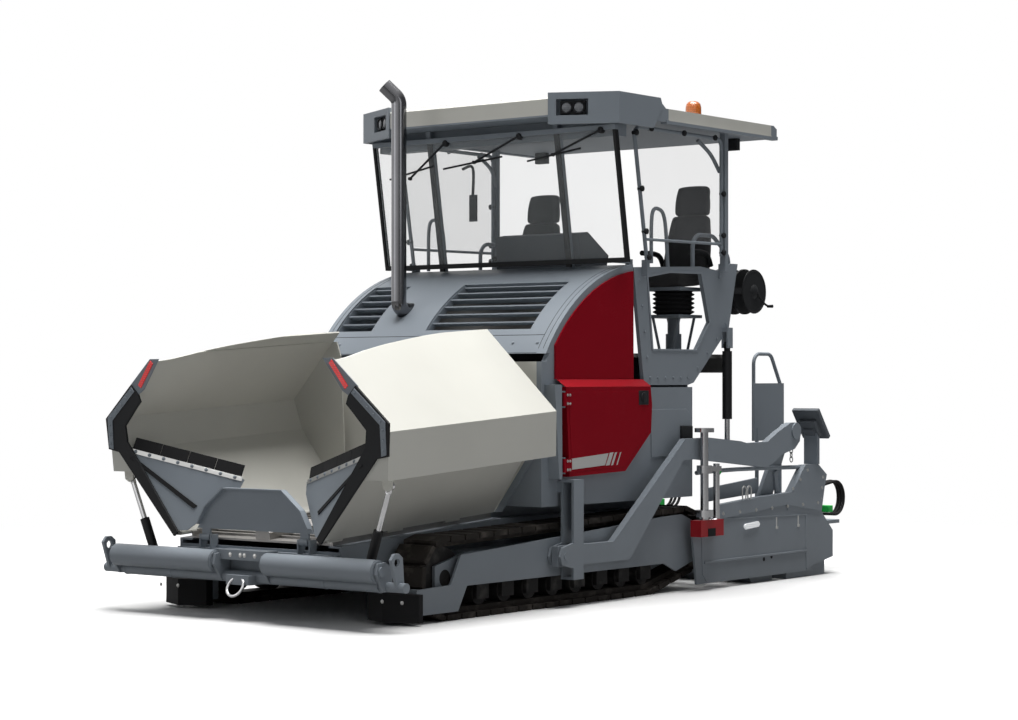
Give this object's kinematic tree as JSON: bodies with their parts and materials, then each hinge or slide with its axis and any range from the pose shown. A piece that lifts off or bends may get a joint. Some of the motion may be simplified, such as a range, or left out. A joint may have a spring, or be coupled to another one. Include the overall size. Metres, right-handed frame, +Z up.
{
  "type": "tracked asphalt paver",
  "caption": "Tracked asphalt paver with folding hopper wings, canopied platform, towed screed with sliding extensions, and spreading augers.",
  "frame": {"origin": "on the ground, below the middle of the whole machine", "axes": "+X towards the hopper, +Y to the machine's left, +Z up"},
  "size_m": [6.9185, 2.92, 4.056],
  "materials": {
    "amber": "amber lens",
    "black_steel": "black painted steel",
    "chrome": "polished chrome",
    "cream_paint": "satin cream paint",
    "fabric": "dark seat cloth",
    "glass": "clear glass",
    "grey_paint": "satin blue-grey paint",
    "lamp": "clear lamp lens",
    "red_paint": "gloss dark red paint",
    "rubber": "matt black rubber",
    "track_steel": "dark brown-black cast shoes",
    "worn_steel": "worn bare steel"
  },
  "bodies": {
    "chassis": {"chassis_frame": "grey_paint", "body_bulkheads": "grey_paint", "push_beam": "grey_paint", "track_frame_left": "grey_paint", "track_frame_right": "grey_paint", "track_wheels": "black_steel", "track_left": "track_steel", "track_right": "track_steel", "wear_blocks": "black_steel", "hopper_floor": "worn_steel", "engine_hood": "grey_paint", "engine": "black_steel", "exhaust_stack": "chrome", "body_side_left": "grey_paint", "body_side_right": "grey_paint", "upper_panels": "red_paint", "platform_deck": "grey_paint", "platform_panel_left": "grey_paint", "platform_panel_right": "grey_paint", "seat_bases": "rubber", "seat_left": "fabric", "seat_right": "fabric", "control_console": "grey_paint", "cab_frame": "grey_paint", "canopy_roof": "grey_paint", "front_glass": "glass", "side_window_frames": "grey_paint", "beacon": "amber", "work_lamps": "lamp", "handrails": "grey_paint", "hose_reel": "black_steel", "tow_posts": "grey_paint"},
    "wing_left": {"hopper_wing_left": "cream_paint", "wing_lip_left": "rubber"},
    "wing_barrel_left": {"wing_cylinder_barrel_left": "black_steel"},
    "wing_rod_left": {"wing_cylinder_rod_left": "chrome"},
    "push_roller_left": {"push_roller_left": "grey_paint"},
    "door_left": {"service_door_left": "red_paint"},
    "auger_left": {"auger_left": "worn_steel"},
    "extension_left": {"screed_extension_left": "grey_paint", "extension_controls_left": "grey_paint", "extension_hoses_left": "rubber"},
    "lift_barrel_left": {"lift_cylinder_barrel_left": "black_steel"},
    "lift_rod_left": {"lift_cylinder_rod_left": "chrome"},
    "wing_right": {"hopper_wing_right": "cream_paint", "wing_lip_right": "rubber"},
    "wing_barrel_right": {"wing_cylinder_barrel_right": "black_steel"},
    "wing_rod_right": {"wing_cylinder_rod_right": "chrome"},
    "push_roller_right": {"push_roller_right": "grey_paint"},
    "door_right": {"service_door_right": "red_paint"},
    "auger_right": {"auger_right": "worn_steel"},
    "extension_right": {"screed_extension_right": "grey_paint", "extension_controls_right": "grey_paint", "extension_hoses_right": "rubber"},
    "lift_barrel_right": {"lift_cylinder_barrel_right": "black_steel"},
    "lift_rod_right": {"lift_cylinder_rod_right": "chrome"},
    "apron": {"hopper_apron": "grey_paint"},
    "screed": {"tow_arms": "grey_paint", "screed_body": "grey_paint"}
  },
  "joints": [
    {"name": "wing_left_fold", "type": "hinge", "parent": "chassis", "child": "wing_left", "pos_m": [2.42178, 0.712, 0.63151], "axis": [0.998, 0, -0.0628], "range_deg": [-35, 0]},
    {"name": "wing_cylinder_left_swing", "type": "hinge", "parent": "chassis", "child": "wing_barrel_left", "pos_m": [3.18049, 1.02, 0.34831], "axis": [0.998, 0, -0.0628], "range_deg": [-35.72, 0]},
    {"name": "wing_cylinder_left_stroke", "type": "slide", "parent": "wing_barrel_left", "child": "wing_rod_left", "axis": [0.0586, 0.3601, 0.9311], "range_m": [-0.23341, 0]},
    {"name": "push_roller_left_spin", "type": "hinge", "parent": "chassis", "child": "push_roller_left", "pos_m": [3.352, 0.76, 0.405], "axis": [0, 1, 0], "continuous": true},
    {"name": "door_left_swing", "type": "hinge", "parent": "chassis", "child": "door_left", "pos_m": [1.243, 1.252, 1.295], "axis": [0, 0, -1], "range_deg": [0, 85]},
    {"name": "auger_left_spin", "type": "hinge", "parent": "chassis", "child": "auger_left", "pos_m": [-1.03, 0.6, 0.42], "axis": [0, 1, 0], "continuous": true},
    {"name": "extension_left_slide", "type": "slide", "parent": "screed", "child": "extension_left", "axis": [0, 1, 0], "range_m": [0, 1.15]},
    {"name": "lift_cylinder_left_swing", "type": "hinge", "parent": "chassis", "child": "lift_barrel_left", "pos_m": [-1.097, 1.176, 1.96], "axis": [0, -1, 0], "range_deg": [0, 6.47]},
    {"name": "lift_cylinder_left_stroke", "type": "slide", "parent": "lift_barrel_left", "child": "lift_rod_left", "axis": [0, 0, -1], "range_m": [-0.22289, 0]},
    {"name": "wing_right_fold", "type": "hinge", "parent": "chassis", "child": "wing_right", "pos_m": [2.42178, -0.712, 0.63151], "axis": [-0.998, 0, 0.0628], "range_deg": [-35, 0]},
    {"name": "wing_cylinder_right_swing", "type": "hinge", "parent": "chassis", "child": "wing_barrel_right", "pos_m": [3.18049, -1.02, 0.34831], "axis": [-0.998, 0, 0.0628], "range_deg": [-35.72, 0]},
    {"name": "wing_cylinder_right_stroke", "type": "slide", "parent": "wing_barrel_right", "child": "wing_rod_right", "axis": [0.0586, -0.3601, 0.9311], "range_m": [-0.23341, 0]},
    {"name": "push_roller_right_spin", "type": "hinge", "parent": "chassis", "child": "push_roller_right", "pos_m": [3.352, -0.76, 0.405], "axis": [0, 1, 0], "continuous": true},
    {"name": "door_right_swing", "type": "hinge", "parent": "chassis", "child": "door_right", "pos_m": [1.243, -1.252, 1.295], "axis": [0, 0, 1], "range_deg": [0, 85]},
    {"name": "auger_right_spin", "type": "hinge", "parent": "chassis", "child": "auger_right", "pos_m": [-1.03, -0.6, 0.42], "axis": [0, 1, 0], "continuous": true},
    {"name": "extension_right_slide", "type": "slide", "parent": "screed", "child": "extension_right", "axis": [0, -1, 0], "range_m": [0, 1.15]},
    {"name": "lift_cylinder_right_swing", "type": "hinge", "parent": "chassis", "child": "lift_barrel_right", "pos_m": [-1.097, -1.176, 1.96], "axis": [0, -1, 0], "range_deg": [0, 6.47]},
    {"name": "lift_cylinder_right_stroke", "type": "slide", "parent": "lift_barrel_right", "child": "lift_rod_right", "axis": [0, 0, -1], "range_m": [-0.22289, 0]},
    {"name": "screed_lift", "type": "hinge", "parent": "chassis", "child": "screed", "pos_m": [1.3, 0, 0.385], "axis": [0, 1, 0], "range_deg": [0, 5.5]},
    {"name": "apron_fold", "type": "hinge", "parent": "chassis", "child": "apron", "pos_m": [3.215, 0, 0.56], "axis": [0, 1, 0], "range_deg": [0, 55]}
  ],
  "couplings": [
    {"joint": "wing_cylinder_left_swing", "follows": "wing_left_fold", "ratio": 1.0191},
    {"joint": "wing_cylinder_left_stroke", "follows": "wing_left_fold", "m_per_rad": 0.38128},
    {"joint": "lift_cylinder_left_swing", "follows": "screed_lift", "ratio": 1.1667},
    {"joint": "lift_cylinder_left_stroke", "follows": "screed_lift", "m_per_rad": -2.3167},
    {"joint": "wing_cylinder_right_swing", "follows": "wing_right_fold", "ratio": 1.0191},
    {"joint": "wing_cylinder_right_stroke", "follows": "wing_right_fold", "m_per_rad": 0.38128},
    {"joint": "lift_cylinder_right_swing", "follows": "screed_lift", "ratio": 1.1667},
    {"joint": "lift_cylinder_right_stroke", "follows": "screed_lift", "m_per_rad": -2.3167}
  ]
}
